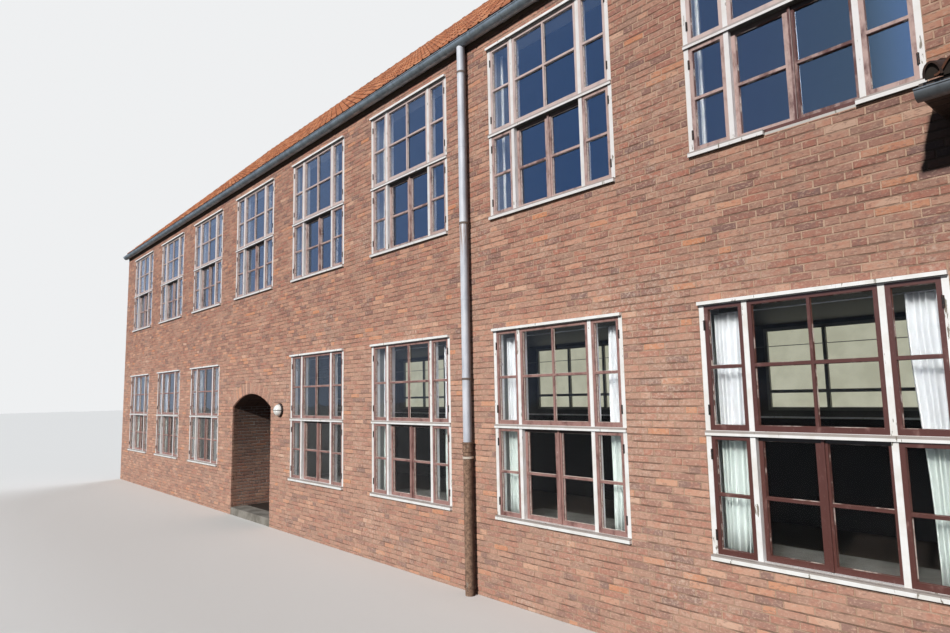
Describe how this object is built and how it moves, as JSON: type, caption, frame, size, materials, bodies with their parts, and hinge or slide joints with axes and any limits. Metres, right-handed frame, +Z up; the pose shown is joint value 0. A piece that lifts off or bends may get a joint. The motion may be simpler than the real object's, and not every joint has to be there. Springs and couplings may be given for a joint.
{
  "type": "school building, two storeys",
  "caption": "Two-storey brick school house with tall timber windows, an arched porch, a side canopy and a tiled gable roof.",
  "frame": {"origin": "on the ground at the centre of the plan", "axes": "+X along the facades to the right seen from the street, the street front faces -Y, +Z up"},
  "size_m": [25.692, 10.1923, 11.7311],
  "materials": {
    "brickwork": "matte",
    "concrete": "matte",
    "floor_boards": "satin",
    "plaster": "matte",
    "dark_paint": "satin",
    "obscured_glass": "satin",
    "white_paint": "satin",
    "red_brown_paint": "satin",
    "window_glass": "gloss",
    "grey_paint": "satin",
    "rail_metal": "satin",
    "curtain_cloth": "matte",
    "roof_timber": "matte",
    "clay_tile": "matte",
    "zinc": "satin",
    "cast_iron": "matte",
    "lamp_glass": "satin"
  },
  "bodies": {
    "root": {"front_wall_base": "brickwork", "front_piers_lower": "brickwork", "front_porch_wall": "brickwork", "front_wall_middle": "brickwork", "front_piers_upper": "brickwork", "front_wall_top": "brickwork", "back_wall_base": "brickwork", "back_piers_lower": "brickwork", "back_wall_middle": "brickwork", "back_piers_upper": "brickwork", "back_wall_top": "brickwork", "gable_left": "brickwork", "gable_right": "brickwork", "ground_floor": "concrete", "first_floor": "floor_boards", "attic_floor": "floor_boards", "corridor_wall": "plaster", "corridor_light_frames": "dark_paint", "corridor_light_panes": "obscured_glass", "porch_step": "concrete", "porch_lining": "brickwork", "porch_back_wall": "brickwork", "porch_door_frame": "white_paint", "porch_door": "red_brown_paint", "frames_front_lower": "white_paint", "frames_front_upper": "white_paint", "sashes_front_lower": "red_brown_paint", "sashes_front_upper": "red_brown_paint", "glass_front_lower": "window_glass", "glass_front_upper": "window_glass", "drip_boards_front": "white_paint", "frames_back": "white_paint", "sashes_back": "red_brown_paint", "glass_back": "window_glass", "drip_boards_back": "white_paint", "inner_window_boards": "grey_paint", "board_brackets": "grey_paint", "curtain_rails": "rail_metal", "curtains": "curtain_cloth", "roof_deck_front": "roof_timber", "roof_deck_back": "roof_timber", "roof_tiles_front": "clay_tile", "roof_tiles_back": "clay_tile", "ridge_tiles": "clay_tile", "gutter_front": "zinc", "gutter_back": "zinc", "gutter_brackets": "zinc", "downpipe_zinc": "zinc", "downpipe_iron": "cast_iron", "downpipe_back": "zinc", "pipe_collars": "zinc", "wall_lamp": "lamp_glass", "canopy_deck": "roof_timber", "canopy_tiles": "clay_tile", "canopy_gutter": "zinc", "canopy_brackets": "roof_timber"}
  },
  "joints": []
}
